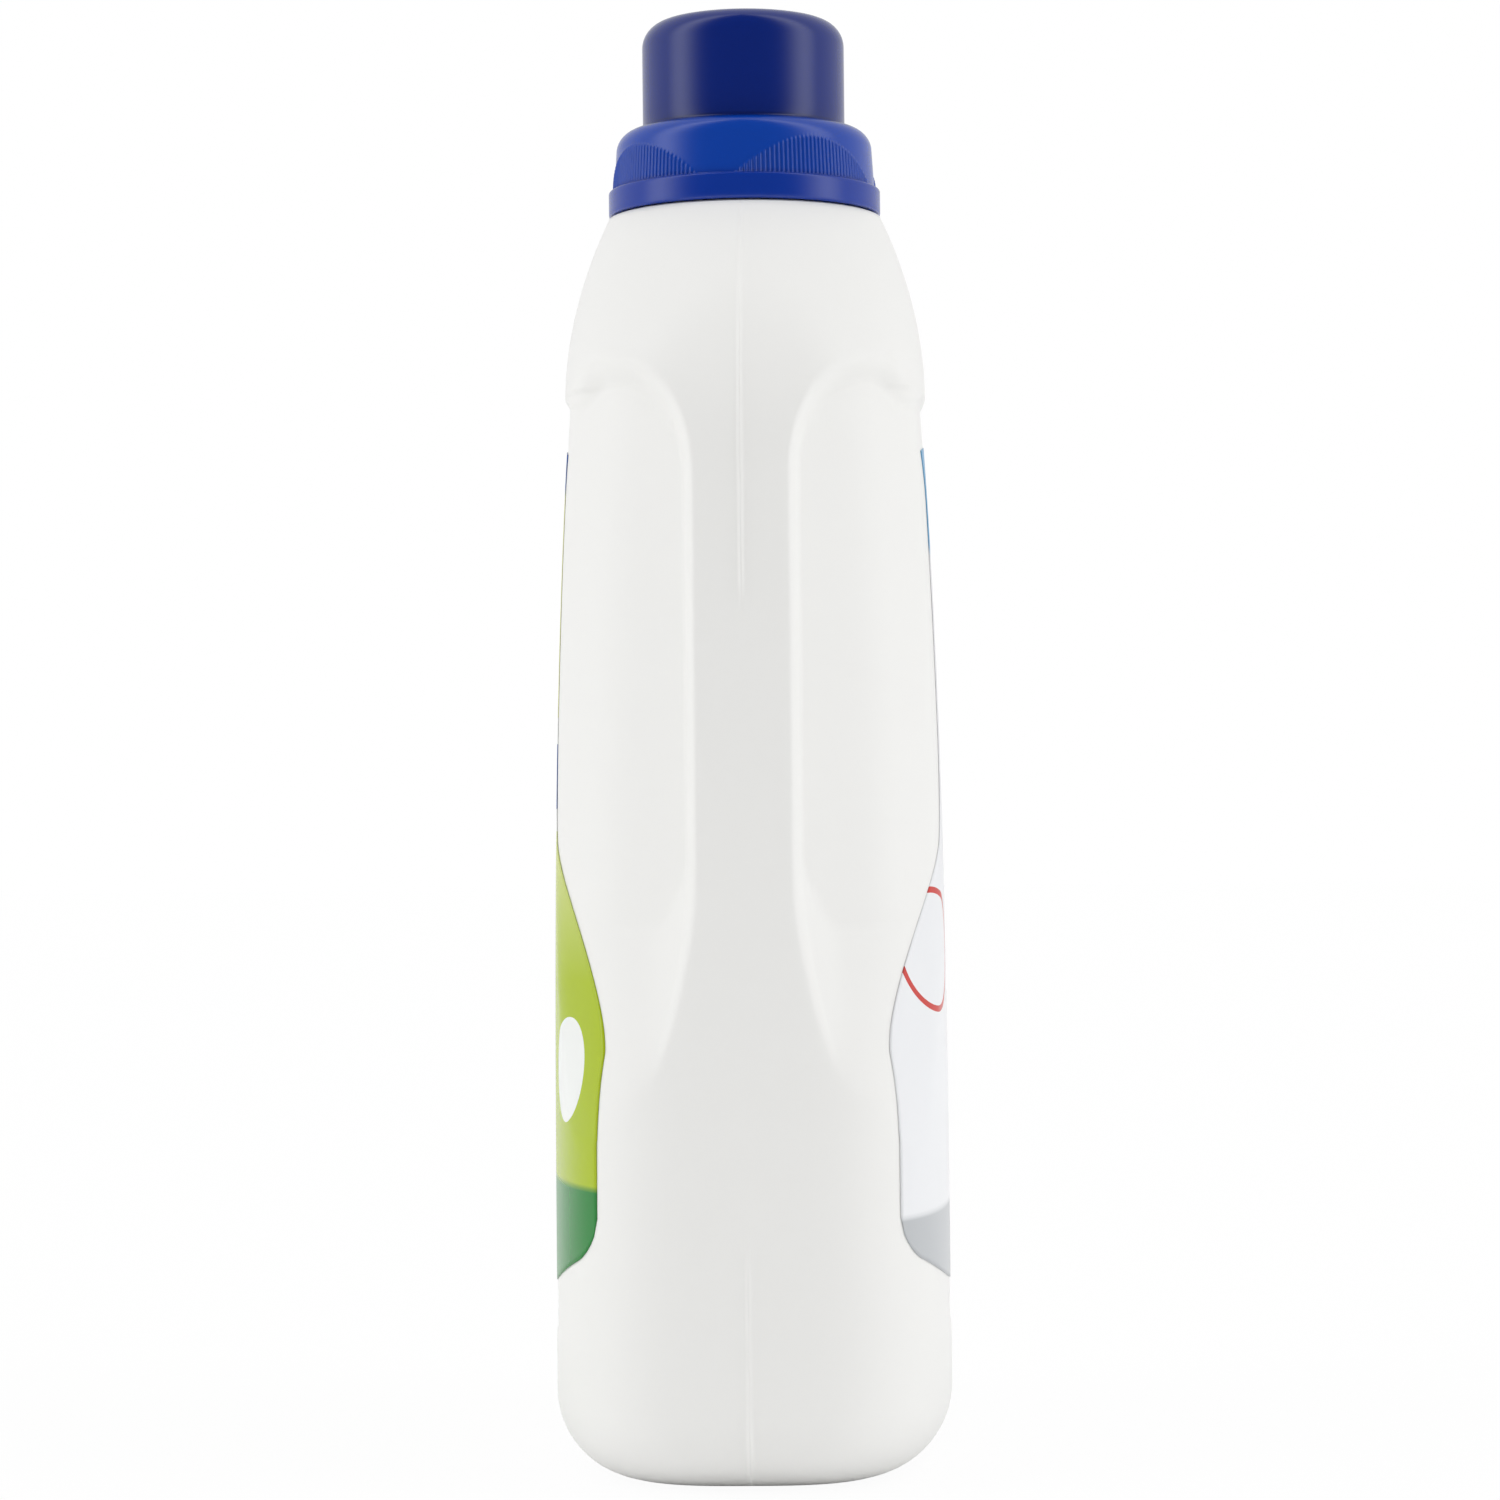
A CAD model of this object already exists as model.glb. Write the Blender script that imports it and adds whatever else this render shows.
import bpy
import numpy as np
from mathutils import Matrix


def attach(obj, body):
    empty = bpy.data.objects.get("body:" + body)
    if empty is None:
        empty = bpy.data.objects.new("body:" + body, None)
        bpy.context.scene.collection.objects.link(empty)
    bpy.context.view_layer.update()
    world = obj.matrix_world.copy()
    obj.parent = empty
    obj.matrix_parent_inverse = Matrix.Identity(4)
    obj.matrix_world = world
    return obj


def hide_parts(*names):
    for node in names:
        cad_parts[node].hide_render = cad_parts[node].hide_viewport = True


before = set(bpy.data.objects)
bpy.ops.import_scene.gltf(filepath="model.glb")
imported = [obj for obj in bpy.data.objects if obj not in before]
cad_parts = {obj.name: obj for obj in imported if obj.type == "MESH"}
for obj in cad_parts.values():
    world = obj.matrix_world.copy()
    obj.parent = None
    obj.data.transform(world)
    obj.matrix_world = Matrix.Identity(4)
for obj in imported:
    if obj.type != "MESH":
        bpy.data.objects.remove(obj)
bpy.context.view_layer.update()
mm = 0.001
print("frame loaded")


def smooth(t):  # cubic ease from 0 to 1
    t = np.clip(t, 0.0, 1.0)
    return t * t * (3.0 - 2.0 * t)


def superRadius(angle, a, b, power):  # polar radius of |x/a|^n + |y/b|^n = 1
    return (np.abs(np.cos(angle) / a) ** power + np.abs(np.sin(angle) / b) ** power) ** (-1.0 / power)


def softMin(values, softness):  # rounded minimum: -s * log(sum(exp(-v / s)))
    lowest = np.minimum.reduce(values)
    return lowest - softness * np.log(sum(np.exp((lowest - v) / softness) for v in values))


def meshFromGrid(name, points, poles=(True, True)):
    # rows of points, each row a closed ring; a pole closes an end with one middle point
    rows, columns = points.shape[:2]
    index = np.arange(rows * columns).reshape(rows, columns)
    right = np.roll(index, -1, axis=1)
    quads = np.stack([index[:-1], right[:-1], right[1:], index[1:]], axis=-1).reshape(-1, 4)
    verts = points.reshape(-1, 3)
    fans = []
    if poles[0]:
        fans.append(np.stack([np.full(columns, len(verts)), right[0], index[0]], axis=-1))
        verts = np.vstack([verts, points[0].mean(axis=0)])
    if poles[1]:
        fans.append(np.stack([np.full(columns, len(verts)), index[-1], right[-1]], axis=-1))
        verts = np.vstack([verts, points[-1].mean(axis=0)])
    return buildMesh(name, verts, quads, np.vstack(fans) if fans else np.zeros((0, 3), int))


def buildMesh(name, verts, quads, tris):
    mesh = bpy.data.meshes.new(name)
    mesh.vertices.add(len(verts))
    mesh.vertices.foreach_set("co", (verts * mm).astype(np.float32).ravel())
    loops = np.concatenate([quads.ravel(), tris.ravel()]).astype(np.int32)
    sizes = np.concatenate([np.full(len(quads), 4), np.full(len(tris), 3)]).astype(np.int32)
    mesh.loops.add(len(loops))
    mesh.loops.foreach_set("vertex_index", loops)
    mesh.polygons.add(len(sizes))
    mesh.polygons.foreach_set("loop_start", np.concatenate([[0], np.cumsum(sizes)[:-1]]).astype(np.int32))
    mesh.update(calc_edges=True)
    mesh.validate()
    mesh.polygons.foreach_set("use_smooth", np.ones(len(sizes), dtype=bool))
    obj = bpy.data.objects.new(name, mesh)
    bpy.context.scene.collection.objects.link(obj)
    return obj


bottle = {
    "halfWidth": 58.0,
    "depthFoot": 38.6,
    "depthLoss": 4.2,
    "depthPower": 3.4,
    "power": 2.9,
    "panelTop": 205.5,
    "ledge": 1.1,
    "sideShoulder": 196.0,
    "shoulderTop": 244.5,
    "neckSeat": 27.1,
    "baseRound": 14.0,
    "baseFlat": 16.0,
    "pushup": 2.5,
    "wall": 1.1,
    "neckRadius": 22.9,
    "neckWall": 1.3,
    "neckTop": 258.0,
    "threadLead": 8.0,
    "threadDepth": 1.2,
    "threadBottom": 248.6,
    "threadRise": 6.6,
    "floorTilt": 32.0,
    "floorReach": 50.1,
    "sideTilt": 58.0,
    "sideReach": 45.0,
    "archCentre": (26.0, 190.0),
    "archFoot": (14.0, 17.2),
    "archBrow": (17.4, 24.5),
    "rampTop": 105.0,
    "rampFoot": 74.0,
    "crease": 0.9,
    "seam": 0.4,
    "seamWidth": 0.42,
    "seamHead": 165.0,
    "seamFoot": 48.5,
    "ripple": 0.1,
}


def panelDepth(z):  # half depth of the label panel: foot - loss * (z / top) ^ power
    s = bottle
    return s["depthFoot"] - s["depthLoss"] * (np.clip(z, 0, None) / s["panelTop"]) ** s["depthPower"]


def bodyRadius(angle, z, inset=0.0):
    # outline of one level: a superellipse, cut into by the grip's two planes on each side of the spine
    s = bottle
    side = np.abs(np.sin(angle))
    flank = np.clip(np.cos(angle), 0, 1)
    ledgeZ = s["panelTop"] + 1.0 - 3.2 * smooth((np.abs(np.cos(angle)) - 0.45) / 0.4)
    above = smooth((z - ledgeZ + 0.9) / 1.8) * (1 - 0.6 * smooth((np.abs(np.cos(angle)) - 0.55) / 0.35))
    start = s["panelTop"] + 2.0
    share = np.clip((z - start) / (s["shoulderTop"] - start), 0, 1)
    widest = panelDepth(s["panelTop"]) + s["ledge"]
    b = np.where(z < start, panelDepth(z) + s["ledge"] * above, widest - (widest - s["neckSeat"]) * share**2)
    b = b + 0.35 * smooth((27.0 - z) / 2.5) * side**2
    sideShare = np.clip((z - s["sideShoulder"]) / (s["shoulderTop"] - s["sideShoulder"]), 0, 1)
    a = s["halfWidth"] - (s["halfWidth"] - s["neckSeat"]) * sideShare**2
    rounding = np.clip((z - s["panelTop"]) / (s["shoulderTop"] - s["panelTop"]), 0, 1)
    power = s["power"] + (2.0 - s["power"]) * rounding
    full = superRadius(angle, a - inset, b - inset, power)
    # grip planes, given by the tilt of their normal from +X and their reach from the axis
    turn = np.abs(np.arctan2(np.sin(angle), np.cos(angle)))
    y = full * side
    rampStart = s["rampTop"] + 9.0 * np.clip((20.0 - y) / 7.0, 0, 1.2) ** 2
    ramp = np.clip((rampStart - z) / (rampStart - s["rampFoot"]), 0, None)
    floorReach = s["floorReach"] - inset + 8.2 * ramp
    sideReach = s["sideReach"] - inset + 5.6 * smooth((s["rampTop"] + 14 - z) / 62.0)
    sideReach = sideReach + 3.0 * np.clip((66 - z) / 20, 0, 2)
    sideReach = sideReach - 0.0008 * np.clip(z - 118, 0, None) ** 1.7
    tiltA, tiltB = np.radians(s["floorTilt"]), np.radians(s["sideTilt"])
    floor = floorReach / np.clip(np.cos(turn - tiltA), 0.05, None)
    flat = sideReach / np.clip(np.cos(turn - tiltB), 0.05, None)
    grip = softMin([floor, flat, full + 0.4], s["crease"])
    # how far inside the pocket: 1 on its floor, 0 on the spine and over the arch
    cy, cz = s["archCentre"]
    flare = 6.9 * (np.clip(112.0 - z, 0, 38) / 36.0) ** 1.6
    drop = 7.0 * smooth((y - 27.0) / 9.0)
    up = np.clip(z + drop - cz, 0, None)
    across = np.clip(cy - y + flare, 0, None)
    foot = np.hypot(across / s["archFoot"][0], up / s["archFoot"][1])
    brow = np.hypot(across / s["archBrow"][0], up / s["archBrow"][1])
    t = np.clip(foot - 1, 0, None) / (np.clip(foot - 1, 0, None) + np.clip(1 - brow, 1e-6, None))
    pocket = (1 - smooth(t)) * smooth(flank / 0.25)
    return full + (np.minimum(grip, full) - full) * pocket


def bottleColumns(z):
    # angles round the bottle, crowded where the spine's walls and the seams are
    s = bottle
    flare = 6.9 * (np.clip(112.0 - z, 0, 38) / 36.0) ** 1.6
    start = np.degrees(np.arctan2(8.2 + flare, 58.0))
    end = np.degrees(np.arctan2(13.9 + flare, 57.0))
    knots = np.array([0.0, 0.9, 0.0, 0.0, 60.0, 176.0, 179.2, 180.0])
    counts = [4, 7, 13, 34, 34, 2, 4]
    stations = np.concatenate([[0], np.cumsum(counts)])
    knots[2], knots[3] = start, end
    return np.interp(np.arange(stations[-1] + 1), stations, knots)


def ring(z, radiusAt):  # one level of points, mirrored about the X axis
    half = np.radians(bottleColumns(z))
    angle = np.concatenate([half, -half[-2:0:-1]])
    r = radiusAt(angle)
    return np.stack([r * np.cos(angle), r * np.sin(angle), np.full_like(angle, z)], axis=-1)


def threadHeight(angle, z):  # two-start ridge: height falls off with distance from its helix
    s = bottle
    pitch = s["threadLead"] / 2
    along = z - s["threadBottom"] - s["threadLead"] * (np.mod(angle, np.pi)) / (2 * np.pi)
    local = np.mod(along + pitch / 2, pitch) - pitch / 2
    starts = smooth((z - s["threadBottom"] + 0.8) / 0.8)
    ends = starts * smooth((s["threadBottom"] + s["threadRise"] + 1.6 - z) / 0.8)
    return s["threadDepth"] * smooth((1.15 - np.abs(local)) / 0.7) * ends


def buildBottle():
    s = bottle
    rows = []
    footFull = lambda a: bodyRadius(a, s["baseRound"])
    inwardTo = lambda inward: (lambda a: footFull(a) - inward * (0.85 + 0.15 * np.abs(np.cos(a)) ** 0.5))
    # pushed-up middle, then the standing ring
    for share in (0.25, 0.5, 0.8, 1.0):
        z = s["pushup"] * (1.12 - 0.12 * share**2)
        rows.append(ring(z, lambda a: share * (inwardTo(s["baseFlat"] + 6.5)(a))))
    for f in (0.33, 0.66):
        rows.append(ring(s["pushup"] * (1 - smooth(f)), lambda a: inwardTo(s["baseFlat"] + 6.5 - 1.5 * f)(a)))
    for inward in (s["baseFlat"] + 5.0, s["baseFlat"] + 2.5, s["baseFlat"] + 0.4):
        rows.append(ring(0.0, inwardTo(inward)))
    for t in np.radians(np.linspace(4, 90, 16)):
        z = s["baseRound"] * (1 - np.cos(t))
        rows.append(ring(z, inwardTo(s["baseFlat"] * (1 - np.sin(t)))))
    levels = np.concatenate([
        np.arange(s["baseRound"] + 0.8, 30, 0.8),
        np.arange(30, 62, 1.6),
        np.arange(62, 120, 1.0),
        np.arange(120, 186, 2.4),
        np.arange(186, 218, 0.5),
        np.arange(218, s["shoulderTop"], 1.1),
    ])
    for z in levels:
        rows.append(ring(z, lambda a: bodyRadius(a, z)))
    rows.append(ring(s["shoulderTop"], lambda a: np.full_like(a, s["neckSeat"] - 0.3)))
    rows.append(ring(s["shoulderTop"] + 0.4, lambda a: np.full_like(a, s["neckSeat"] - 1.2)))
    rows.append(ring(s["shoulderTop"] + 0.5, lambda a: np.full_like(a, s["neckRadius"] + 0.8)))
    rows.append(ring(s["shoulderTop"] + 1.1, lambda a: np.full_like(a, s["neckRadius"])))
    for z in np.arange(s["shoulderTop"] + 2.0, s["neckTop"] - 0.5, 0.4):
        rows.append(ring(z, lambda a: s["neckRadius"] + threadHeight(a, z)))
    bore = s["neckRadius"] - s["neckWall"]
    rows.append(ring(s["neckTop"] - 0.2, lambda a: np.full_like(a, s["neckRadius"])))
    rows.append(ring(s["neckTop"], lambda a: np.full_like(a, s["neckRadius"] - 0.2)))
    rows.append(ring(s["neckTop"], lambda a: np.full_like(a, bore + 0.2)))
    rows.append(ring(s["neckTop"] - 0.2, lambda a: np.full_like(a, bore)))
    rows.append(ring(s["shoulderTop"] - 2.2, lambda a: np.full_like(a, bore)))
    # inside, one wall in from the outside
    upper = np.arange(s["shoulderTop"] - 3.2, 186, -2.5)
    lower = np.arange(186, s["baseRound"], -6.0)
    for z in np.concatenate([upper, lower]):
        rows.append(ring(z, lambda a: bodyRadius(a, z, s["wall"]) - 0.3 * (z > 194)))
    for t in np.radians([90, 65, 40, 20, 5]):
        z = s["wall"] + (s["baseRound"] - s["wall"]) * (1 - np.cos(t))
        rows.append(ring(z, lambda a: inwardTo(s["wall"] + s["baseFlat"] * (1 - np.sin(t)))(a)))
    rows.append(ring(s["pushup"] + s["wall"] + 0.4, inwardTo(s["baseFlat"] + 8.0)))
    points = np.stack(rows)
    # the mould's parting seam: a thin ridge down both narrow sides, missing along the grip
    seamSide = np.exp(-((points[..., 1] / s["seamWidth"]) ** 2))
    zs = points[..., 2]
    outer = np.zeros(points.shape[:2])
    outer[: 13 + 12 + len(levels)] = 1
    below = smooth((s["seamFoot"] - zs) / 3.0) * 0.8 + smooth((15 - zs) / 2.0) * 0.5
    shown = np.maximum(smooth((zs - s["seamHead"]) / 1.5), below)
    onX = np.where(points[..., 0] > 0, shown, 0.8)
    lift = s["seam"] * seamSide * onX * outer * (zs > 0.6) * (zs < s["shoulderTop"] - 0.5)
    points[..., 0] += lift * np.sign(points[..., 0])
    # slow unevenness of the blown wall
    ripple = s["ripple"] * np.sin(zs / 9.0 + points[..., 1] / 7.0) * np.sin(zs / 23.0)
    points[..., 0] += ripple * outer * smooth((zs - 4) / 8) * smooth((s["shoulderTop"] - zs) / 8)
    return meshFromGrid("bottleShell", points)


bottleShell = buildBottle()
print("bottle built", len(bottleShell.data.polygons))


cap = {
    "rimBottom": 245.0,
    "rimTop": 250.0,
    "rimRadius": 27.1,
    "collarFoot": 26.0,
    "collarRadius": 25.5,
    "collarTop": 262.0,
    "collarRound": 4.2,
    "cupRadius": 20.15,
    "top": 283.7,
    "edgeRound": 5.0,
    "wall": 1.4,
    "lipRadius": 19.6,
    "lipBottom": 246.0,
    "skirtRadius": 24.5,
    "skirtTop": 260.5,
    "ribPitch": 2.0,
    "ribHeight": 0.34,
    "ribPatches": (34.0, 124.0, 214.0, 304.0),
    "ribReach": 40.0,
    "ribRise": 8.9,
    "ribFoot": 249.0,
    "columns": 720,
    "wallRows": 3,
}


def capProfile():
    # radius and height along the moulding's section: rim, collar, cup, then the inside back to the rim
    s = cap
    arc = lambda cr, cz, radius, t0, t1, n: [
        (cr + radius * np.cos(t), cz + radius * np.sin(t)) for t in np.radians(np.linspace(t0, t1, n))
    ]
    out = [(s["skirtRadius"] + 0.4, s["rimBottom"]), (s["rimRadius"] - 0.4, s["rimBottom"])]
    out += arc(s["rimRadius"] - 0.4, s["rimBottom"] + 0.4, 0.4, -60, 0, 3)
    out += [(s["rimRadius"], z) for z in np.linspace(s["rimBottom"] + 1.2, s["rimTop"] - 0.9, 4)]
    out += arc(s["rimRadius"] - 0.5, s["rimTop"] - 0.5, 0.5, 10, 80, 4)
    shoulderZ = s["collarTop"] - s["collarRound"]
    for z in np.linspace(s["rimTop"] + 0.15, shoulderZ, 34):
        out.append((np.interp(z, [s["rimTop"], shoulderZ], [s["collarFoot"], s["collarRadius"]]), z))
    out += arc(s["collarRadius"] - s["collarRound"], shoulderZ, s["collarRound"], 8, 84, 10)
    out += [(s["cupRadius"] + 0.55, s["collarTop"]), (s["cupRadius"] + 0.12, s["collarTop"] + 0.12)]
    out += [(s["cupRadius"], z) for z in np.linspace(s["collarTop"] + 0.6, s["top"] - s["edgeRound"], 8)]
    out += arc(s["cupRadius"] - s["edgeRound"], s["top"] - s["edgeRound"], s["edgeRound"], 9, 90, 10)
    out += [((s["cupRadius"] - s["edgeRound"]) * f, s["top"] - 0.15 * (1 - f)) for f in (0.75, 0.4, 0.12)]
    inner = s["cupRadius"] - s["wall"]
    back = [((s["cupRadius"] - s["edgeRound"]) * f, s["top"] - s["wall"] - 0.1) for f in (0.12, 0.5, 1.0)]
    edgeFoot = s["top"] - s["edgeRound"]
    back += arc(s["cupRadius"] - s["edgeRound"], edgeFoot, s["edgeRound"] - s["wall"], 80, 0, 6)
    back += [(inner, z) for z in np.linspace(edgeFoot - 1, s["lipBottom"] + 0.3, s["wallRows"])]
    back += [(inner + 0.2, s["lipBottom"]), (s["lipRadius"] - 0.2, s["lipBottom"])]
    back += [(s["lipRadius"], s["lipBottom"] + 0.3)]
    back += [(s["lipRadius"], z) for z in np.linspace(s["lipBottom"] + 1, s["skirtTop"], s["wallRows"])]
    back += [(s["skirtRadius"] - 0.1, s["skirtTop"])]
    back += [(s["skirtRadius"], z) for z in np.arange(s["skirtTop"] - 0.2, s["rimBottom"] + 0.2, -0.4)]
    return np.array(out), np.array(back)


def ribMask(angle, z):
    # each patch of ribs is an arch: its top follows rise * (1 - (turn / reach) ^ 2)
    s = cap
    degrees = np.degrees(angle)
    turn = np.min([np.abs((degrees - c + 180) % 360 - 180) for c in s["ribPatches"]], axis=0)
    top = s["ribFoot"] + s["ribRise"] * (1 - (turn / s["ribReach"]) ** 2)
    return smooth((top - z) / 0.7) * smooth((s["ribReach"] - 1.5 - turn) / 0.8)


def capThread(angle, z):  # the cap's own ridges stand half a pitch away from the neck's
    pitch = bottle["threadLead"] / 2
    base = bottle["threadBottom"] - pitch / 2
    along = z - base - bottle["threadLead"] * np.mod(angle, np.pi) / (2 * np.pi)
    local = np.mod(along + pitch / 2, pitch) - pitch / 2
    ends = smooth((z - base + 0.6) / 0.8) * smooth((base + bottle["threadRise"] + 1.4 - z) / 0.8)
    return 1.2 * smooth((1.15 - np.abs(local)) / 0.7) * ends


def buildCap():
    s = cap
    outside, inside = capProfile()
    angle = np.linspace(0, 2 * np.pi, s["columns"], endpoint=False)
    turn = angle[None, :]
    r = np.repeat(outside[:, :1], s["columns"], axis=1)
    z = np.repeat(outside[:, 1:], s["columns"], axis=1)
    onCollar = (z > s["rimTop"]) & (z < s["collarTop"] - 0.3)
    wave = 0.5 + 0.5 * np.cos(np.radians(np.degrees(turn) / s["ribPitch"] * 360))
    r = r + s["ribHeight"] * wave * ribMask(turn, z) * onCollar
    back = np.repeat(inside[:, :1], s["columns"], axis=1)
    backZ = np.repeat(inside[:, 1:], s["columns"], axis=1)
    back = back - capThread(turn, backZ) * (np.abs(back - s["skirtRadius"]) < 1e-6)
    outer = np.stack([r * np.cos(turn), r * np.sin(turn), z], axis=-1)
    inner = np.stack([back * np.cos(turn), back * np.sin(turn), backZ], axis=-1)
    rows, columns = outer.shape[0] + inner.shape[0], s["columns"]
    points = np.concatenate([outer, inner])
    index = np.arange(rows * columns).reshape(rows, columns)
    right = np.roll(index, -1, axis=1)
    below = np.roll(index, -1, axis=0)
    belowRight = np.roll(right, -1, axis=0)
    quads = np.stack([index, right, belowRight, below], axis=-1)
    keep = np.ones(rows, bool)
    keep[outer.shape[0] - 1] = False  # the top's two poles are closed by fans instead
    quads = quads[keep].reshape(-1, 4)
    verts = points.reshape(-1, 3)
    last, first = index[outer.shape[0] - 1], index[outer.shape[0]]
    tipOut, tipIn = len(verts), len(verts) + 1
    verts = np.vstack([verts, outer[-1].mean(axis=0), inner[0].mean(axis=0)])
    fanOut = np.stack([np.full(columns, tipOut), last, np.roll(last, -1)], axis=-1)
    fanIn = np.stack([np.full(columns, tipIn), np.roll(first, -1), first], axis=-1)
    return buildMesh("capMoulding", verts, quads, np.vstack([fanOut, fanIn]))


capMoulding = buildCap()
print("cap built", len(capMoulding.data.polygons))


label = {
    "halfWidth": 48.4,
    "bottom": 45.0,
    "bottomMiddle": 34.0,
    "top": 190.0,
    "topMiddle": 198.0,
    "corner": 6.0,
    "thickness": 0.15,
    "gap": 0.05,
    "columns": 120,
    "rows": 160,
}


def scoopEdge(z):  # how far the bare front face reaches towards the grip at each height
    return 21.5 + 30.1 * smooth((138.0 - z) / 60.0) + 12.0 * smooth((z - 180.0) / 20.0)


def buildLabel(name, side):
    # a sheet of columns across and rows up, laid on the panel's surface
    s = label
    across = np.linspace(-1, 1, s["columns"])[:, None]
    up = np.linspace(0, 1, s["rows"])[None, :]
    z = s["bottom"] + (s["top"] - s["bottom"]) * up
    right = np.minimum(s["halfWidth"], scoopEdge(z) - 3.0)
    left = -s["halfWidth"]
    x = left + (right - left) * (across + 1) / 2
    bow = 1 - (x / s["halfWidth"]) ** 2
    low = s["bottom"] - (s["bottom"] - s["bottomMiddle"]) * bow
    high = s["top"] + (s["topMiddle"] - s["top"]) * bow
    z = low + (high - low) * up
    # rounded lower corners
    reach = np.clip((np.abs(x) - (s["halfWidth"] - s["corner"])) / s["corner"], 0, 1)
    lift = s["corner"] * (1 - np.sqrt(1 - reach**2)) * (1 - up) ** 6
    z = z + lift
    y = panelSurface(x, z)
    normal = surfaceNormal(x, z)
    sheets = []
    for offset in (s["gap"], s["gap"] + s["thickness"]):
        sheets.append(np.stack([x + normal[0] * offset, -side * (y + normal[1] * offset), z], axis=-1))
    return sheetMesh(name, sheets, side)


def panelSurface(x, z):  # the bottle's half depth at a place on its front, found by stepping along the angle
    angle = np.arctan2(panelDepth(z), x)
    for _ in range(30):
        r = bodyRadius(angle, z)
        angle = np.arctan2(r * np.sin(angle), x)
    return bodyRadius(angle, z) * np.sin(angle)


def surfaceNormal(x, z):  # in plan, from the slope of the half depth
    step = 0.4
    slope = (panelSurface(x + step, z) - panelSurface(x - step, z)) / (2 * step)
    size = np.sqrt(1 + slope**2)
    return -slope / size, 1 / size


def sheetMesh(name, sheets, side):
    inner, outer = sheets
    n, m = inner.shape[:2]
    index = np.arange(n * m).reshape(n, m)
    top = index + n * m
    face = lambda g: np.stack([g[:-1, :-1], g[1:, :-1], g[1:, 1:], g[:-1, 1:]], axis=-1).reshape(-1, 4)
    edge = np.concatenate([index[:, 0], index[-1, 1:], index[-2::-1, -1], index[0, -2:0:-1]])
    nxt = np.roll(edge, -1)
    rim = np.stack([edge, nxt, nxt + n * m, edge + n * m], axis=-1)
    quads = [face(top), face(index)[:, ::-1], rim]
    if side < 0:
        quads = [q[:, ::-1] for q in quads]
    verts = np.concatenate([inner.reshape(-1, 3), outer.reshape(-1, 3)])
    return buildMesh(name, verts, np.vstack(quads), np.zeros((0, 3), int))


frontLabel = buildLabel("frontLabel", 1)
backLabel = buildLabel("backLabel", -1)
print("labels built")


def newMaterial(name):
    material = bpy.data.materials.new(name)
    material.use_nodes = True
    tree = material.node_tree
    return material, tree, tree.nodes["Principled BSDF"]


def link(tree, a, b):
    tree.links.new(a, b)


def mathNode(tree, kind, a, b=None):
    node = tree.nodes.new("ShaderNodeMath")
    node.operation = kind
    for i, value in enumerate([a, b]):
        if value is None:
            continue
        if isinstance(value, (int, float)):
            node.inputs[i].default_value = value
        else:
            link(tree, value, node.inputs[i])
    return node.outputs[0]


def whitePlastic():
    material, tree, shader = newMaterial("whiteBlownPlastic")
    shader.inputs["Base Color"].default_value = (0.87, 0.868, 0.85, 1)
    shader.inputs["Roughness"].default_value = 0.38
    shader.inputs["Specular IOR Level"].default_value = 0.35
    coords = tree.nodes.new("ShaderNodeTexCoord")
    noise = tree.nodes.new("ShaderNodeTexNoise")
    noise.inputs["Scale"].default_value = 900
    link(tree, coords.outputs["Object"], noise.inputs["Vector"])
    bump = tree.nodes.new("ShaderNodeBump")
    bump.inputs["Strength"].default_value = 0.05
    bump.inputs["Distance"].default_value = 0.0003
    link(tree, noise.outputs["Fac"], bump.inputs["Height"])
    link(tree, bump.outputs["Normal"], shader.inputs["Normal"])
    return material


def heightColours(tree, stops, low, high):  # colours by height, with stops and bounds in mm
    coords = tree.nodes.new("ShaderNodeTexCoord")
    split = tree.nodes.new("ShaderNodeSeparateXYZ")
    link(tree, coords.outputs["Object"], split.inputs[0])
    span = tree.nodes.new("ShaderNodeMapRange")
    span.inputs["From Min"].default_value = low * mm
    span.inputs["From Max"].default_value = high * mm
    link(tree, split.outputs["Z"], span.inputs["Value"])
    ramp = tree.nodes.new("ShaderNodeValToRGB")
    link(tree, span.outputs["Result"], ramp.inputs["Fac"])
    while len(ramp.color_ramp.elements) < len(stops):
        ramp.color_ramp.elements.new(0.5)
    for element, (height, colour) in zip(ramp.color_ramp.elements, stops):
        element.position = (height - low) / (high - low)
        element.color = (*colour, 1)
    return ramp.outputs["Color"], split


def badge(tree, colour, split, place, size, fill):  # an ellipse of one colour over another, sizes in mm
    terms = []
    for axis, middle, reach in (("X", place[0], size[0]), ("Z", place[1], size[1])):
        off = mathNode(tree, "SUBTRACT", split.outputs[axis], middle * mm)
        off = mathNode(tree, "DIVIDE", off, reach * mm)
        terms.append(mathNode(tree, "MULTIPLY", off, off))
    inside = mathNode(tree, "LESS_THAN", mathNode(tree, "ADD", *terms), 1.0)
    mix = tree.nodes.new("ShaderNodeMix")
    mix.data_type = "RGBA"
    link(tree, inside, mix.inputs["Factor"])
    link(tree, colour, mix.inputs["A"])
    mix.inputs["B"].default_value = (*fill, 1)
    return mix.outputs["Result"]


def bluePlastic():
    material, tree, shader = newMaterial("bluePlastic")
    edge = cap["collarTop"]
    navy, junction, bright, rim = (0.0, 0.014, 0.17), (0.0, 0.005, 0.07), (0.0, 0.045, 0.36), (0.0, 0.03, 0.3)
    stops = ((cap["rimTop"], rim), (cap["rimTop"] + 1, bright), (edge - 1, bright))
    stops = (*stops, (edge, junction), (edge + 1, navy))
    colour, split = heightColours(tree, stops, cap["rimBottom"], cap["top"])
    link(tree, colour, shader.inputs["Base Color"])
    shader.inputs["Roughness"].default_value = 0.2
    return material


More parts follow.
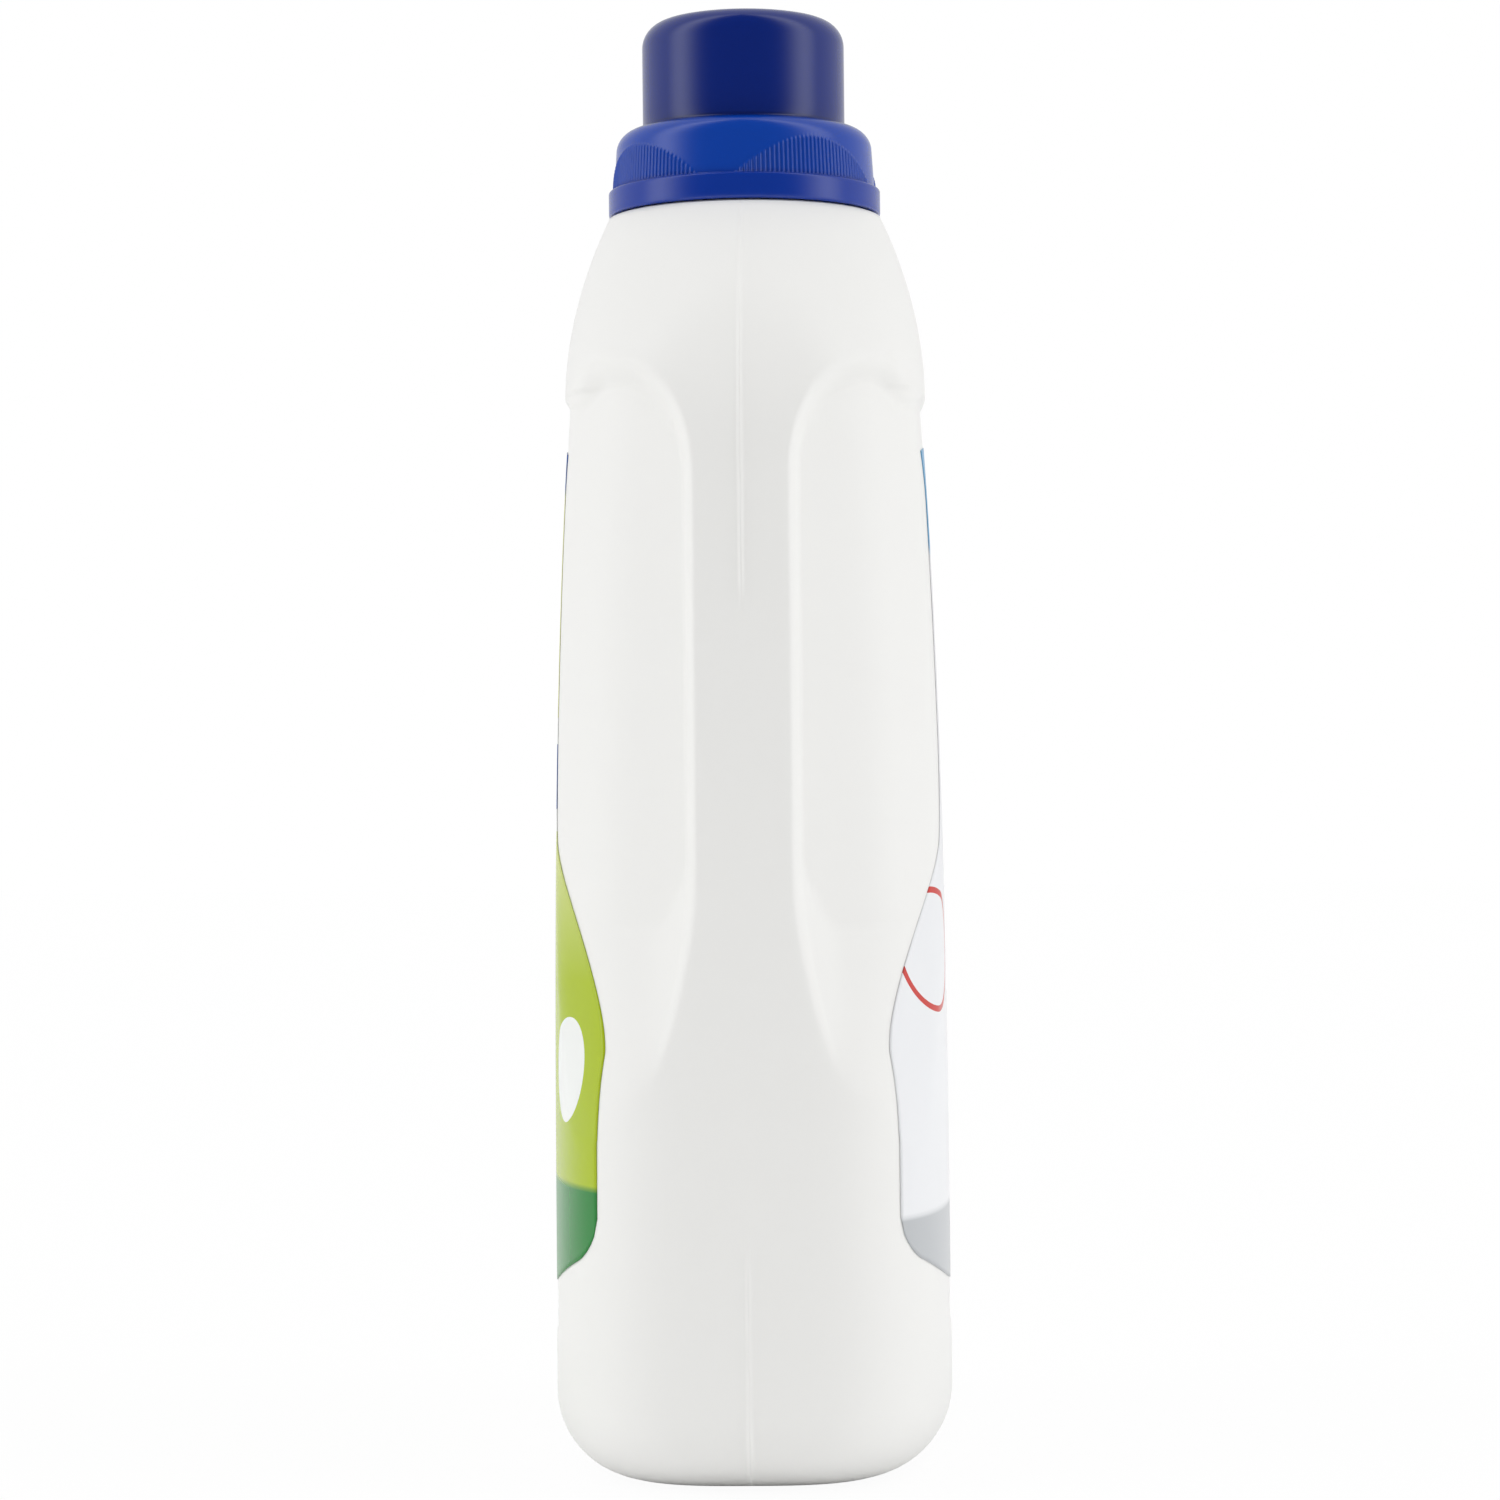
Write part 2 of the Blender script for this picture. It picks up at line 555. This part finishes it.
def plainPlastic(name, colour, roughness, grain):  # even plastic with a fine moulded grain
    material, tree, shader = newMaterial(name)
    shader.inputs["Roughness"].default_value = roughness
    coords = tree.nodes.new("ShaderNodeTexCoord")
    noise = tree.nodes.new("ShaderNodeTexNoise")
    noise.inputs["Scale"].default_value = grain
    link(tree, coords.outputs["Object"], noise.inputs["Vector"])
    tint = tree.nodes.new("ShaderNodeMix")
    tint.data_type = "RGBA"
    link(tree, noise.outputs["Fac"], tint.inputs["Factor"])
    tint.inputs["A"].default_value = (*colour, 1)
    tint.inputs["B"].default_value = (*(0.94 * c for c in colour), 1)
    link(tree, tint.outputs["Result"], shader.inputs["Base Color"])
    return material


def frontPrint():
    material, tree, shader = newMaterial("frontPrint")
    green, lime, pale, blue = (0.01, 0.22, 0.03), (0.4, 0.52, 0.0), (0.78, 0.8, 0.42), (0.01, 0.08, 0.35)
    stops = ((56, green), (57, lime), (95, lime), (140, pale), (188, pale), (190, blue))
    colour, split = heightColours(tree, stops, label["bottomMiddle"], label["topMiddle"])
    colour = badge(tree, colour, split, (-4, 132), (30, 20), (0.86, 0.88, 0.86))
    colour = badge(tree, colour, split, (-4, 132), (26, 16), blue)
    colour = badge(tree, colour, split, (36, 78), (7, 10), (0.86, 0.88, 0.86))
    colour = badge(tree, colour, split, (-26, 84), (8, 8), green)
    link(tree, colour, shader.inputs["Base Color"])
    shader.inputs["Roughness"].default_value = 0.25
    return material


def backPrint():
    material, tree, shader = newMaterial("backPrint")
    white, grey, red, blue = (0.84, 0.85, 0.87), (0.5, 0.52, 0.54), (0.6, 0.04, 0.03), (0.1, 0.35, 0.6)
    stops = ((50, grey), (51, white), (176, white), (178, blue))
    colour, split = heightColours(tree, stops, label["bottomMiddle"], label["topMiddle"])
    colour = badge(tree, colour, split, (30, 100), (12, 12), red)
    colour = badge(tree, colour, split, (30, 100), (10.8, 10.8), white)
    colour = badge(tree, colour, split, (-20, 74), (14, 9), blue)
    link(tree, colour, shader.inputs["Base Color"])
    shader.inputs["Roughness"].default_value = 0.3
    return material


def dress(obj, material):
    obj.data.materials.clear()
    obj.data.materials.append(material)


dress(bottleShell, whitePlastic())
dress(capMoulding, bluePlastic())
dress(frontLabel, frontPrint())
dress(backLabel, backPrint())
dress(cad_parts["pour_spout"], plainPlastic("spoutPlastic", (0.82, 0.82, 0.8), 0.35, 500))
dress(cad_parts["seal_ring"], plainPlastic("sealFoam", (0.5, 0.5, 0.5), 0.7, 1500))

for piece, body, node, slotName in (
    (bottleShell, "bottle_body", "bottle", "bottle_white"),
    (capMoulding, "cap_body", "dosing_cap", "cap_blue"),
    (frontLabel, "bottle_body", "front_label", "front_label_print"),
    (backLabel, "bottle_body", "back_label", "back_label_print"),
):
    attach(piece, body)
    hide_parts(node)


studio = {
    "eyeHeight": 0.1385,
    "eyeDistance": 0.740,
    "lens": 88.8,
    "floorSize": 6.0,
    "turn": 1.3,
    "roll": 0.58,
    "dimLevel": 0.66,
    "glossDip": 0.58,
    "boxLevel": 2.65,
    "boxTurn": 1.309,
    "boxSpread": 0.314,
    "roomLevel": 0.96,
    "floorLift": 0.95,
}


def buildStage():
    bpy.ops.mesh.primitive_plane_add(size=studio["floorSize"])
    floor = bpy.context.object
    floor.name = "studioFloor"
    material, tree, shader = newMaterial("paleFloor")
    shader.inputs["Base Color"].default_value = (0.95, 0.95, 0.95, 1)
    shader.inputs["Roughness"].default_value = 0.9
    shader.inputs["Specular IOR Level"].default_value = 0.0
    path = tree.nodes.new("ShaderNodeLightPath")
    glow = tree.nodes.new("ShaderNodeEmission")
    mix = tree.nodes.new("ShaderNodeMixShader")
    seen = mathNode(tree, "MAXIMUM", path.outputs["Is Camera Ray"], path.outputs["Is Transmission Ray"])
    link(tree, mathNode(tree, "MULTIPLY", seen, studio["floorLift"]), mix.inputs["Fac"])
    link(tree, shader.outputs[0], mix.inputs[1])
    link(tree, glow.outputs[0], mix.inputs[2])
    link(tree, mix.outputs[0], tree.nodes["Material Output"].inputs["Surface"])
    dress(floor, material)
    world = bpy.data.worlds.new("studioWorld")
    bpy.context.scene.world = world
    world.use_nodes = True
    tree = world.node_tree
    tree.nodes.clear()
    output = tree.nodes.new("ShaderNodeOutputWorld")
    path = tree.nodes.new("ShaderNodeLightPath")
    coords = tree.nodes.new("ShaderNodeTexCoord")
    split = tree.nodes.new("ShaderNodeSeparateXYZ")
    link(tree, coords.outputs["Generated"], split.inputs[0])
    # a white room with a soft box on each side and a dimmer strip where the camera stands, at +X
    turn = mathNode(tree, "ARCTAN2", mathNode(tree, "ABSOLUTE", split.outputs["Y"]), split.outputs["X"])
    off = mathNode(tree, "DIVIDE", mathNode(tree, "SUBTRACT", turn, studio["boxTurn"]), studio["boxSpread"])
    fade = mathNode(tree, "EXPONENT", mathNode(tree, "MULTIPLY", mathNode(tree, "MULTIPLY", off, off), -1.0))
    dip = mathNode(tree, "MULTIPLY", path.outputs["Is Glossy Ray"], -studio["glossDip"])
    dim = mathNode(tree, "ADD", dip, studio["dimLevel"])
    box = mathNode(tree, "ADD", mathNode(tree, "MULTIPLY", fade, studio["boxLevel"]), dim)
    pastBox = mathNode(tree, "GREATER_THAN", turn, studio["boxTurn"])
    behind = mathNode(tree, "MULTIPLY", pastBox, studio["roomLevel"])
    level = mathNode(tree, "MAXIMUM", box, behind)
    lit = tree.nodes.new("ShaderNodeBackground")
    link(tree, level, lit.inputs["Strength"])
    seen = tree.nodes.new("ShaderNodeBackground")
    mix = tree.nodes.new("ShaderNodeMixShader")
    seen.inputs["Color"].default_value = (1, 1, 1, 1)
    through = mathNode(tree, "MAXIMUM", path.outputs["Is Camera Ray"], path.outputs["Is Transmission Ray"])
    link(tree, through, mix.inputs["Fac"])
    link(tree, lit.outputs[0], mix.inputs[1])
    link(tree, seen.outputs[0], mix.inputs[2])
    link(tree, mix.outputs[0], output.inputs["Surface"])


def buildCamera():
    data = bpy.data.cameras.new("camera")
    data.lens = studio["lens"]
    data.sensor_width = 36.0
    camera = bpy.data.objects.new("camera", data)
    bpy.context.scene.collection.objects.link(camera)
    turn = np.radians(studio["turn"])
    away = studio["eyeDistance"]
    camera.location = (away * np.cos(turn), away * np.sin(turn), studio["eyeHeight"])
    camera.rotation_euler = (np.radians(90), np.radians(studio["roll"]), np.radians(90) + turn)
    bpy.context.scene.camera = camera


buildStage()
buildCamera()
bpy.context.scene.view_settings.view_transform = "Standard"
